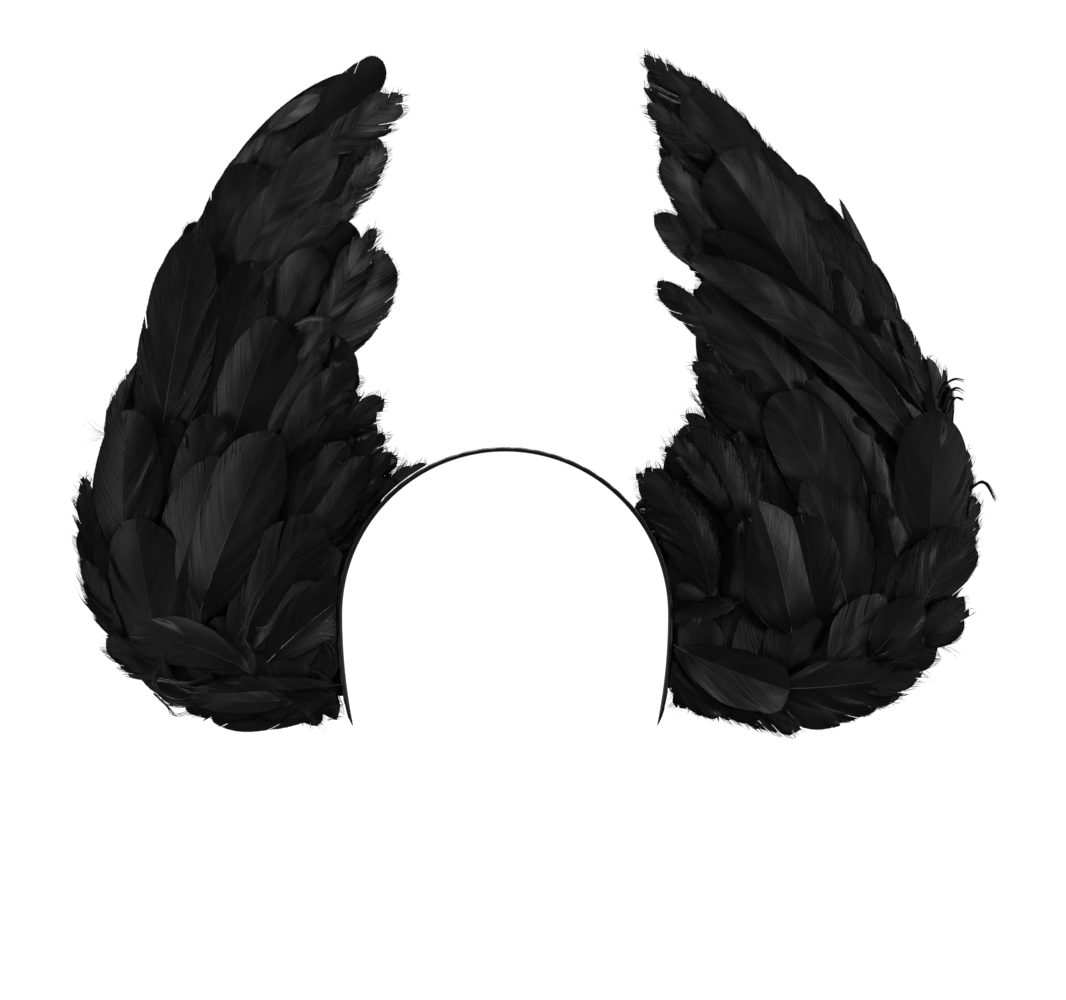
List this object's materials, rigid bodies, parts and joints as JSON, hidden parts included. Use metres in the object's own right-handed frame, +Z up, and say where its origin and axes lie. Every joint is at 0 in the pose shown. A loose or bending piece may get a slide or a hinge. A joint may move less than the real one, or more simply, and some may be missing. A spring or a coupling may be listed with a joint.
{
  "type": "feather wing headband",
  "caption": "Costume headband: a slim arch band that carries a tall upswept wing of layered black feathers at each side of the head.",
  "frame": {"origin": "inside face of the band at the crown, where it rests on the head", "axes": "+X to the wearer's left, +Y to the back of the head, +Z up; the front of the wings faces -Y"},
  "size_m": [0.435, 0.0568, 0.325],
  "materials": {
    "ribbon_wrap": "satin ribbon wrapped round a springy core",
    "backing_felt": "matt stiffened felt",
    "front_feathers": "satin black dyed feather, lighter glints along barbs and shafts",
    "back_feathers": "satin black dyed feather"
  },
  "bodies": {
    "root": {"headband": "ribbon_wrap", "right_wing_panel": "backing_felt", "right_tip_feathers": "front_feathers", "right_upper_feathers": "front_feathers", "right_middle_feathers": "front_feathers", "right_flank_feathers": "front_feathers", "right_lower_feathers": "front_feathers", "right_shoulder_feathers": "front_feathers", "right_hem_feathers": "front_feathers", "right_back_tip_feathers": "back_feathers", "right_back_upper_feathers": "back_feathers", "right_back_middle_feathers": "back_feathers", "right_back_lower_feathers": "back_feathers", "right_back_hem_feathers": "back_feathers", "left_wing_panel": "backing_felt", "left_tip_feathers": "front_feathers", "left_upper_feathers": "front_feathers", "left_middle_feathers": "front_feathers", "left_flank_feathers": "front_feathers", "left_lower_feathers": "front_feathers", "left_shoulder_feathers": "front_feathers", "left_hem_feathers": "front_feathers", "left_back_tip_feathers": "back_feathers", "left_back_upper_feathers": "back_feathers", "left_back_middle_feathers": "back_feathers", "left_back_lower_feathers": "back_feathers", "left_back_hem_feathers": "back_feathers"}
  },
  "joints": []
}
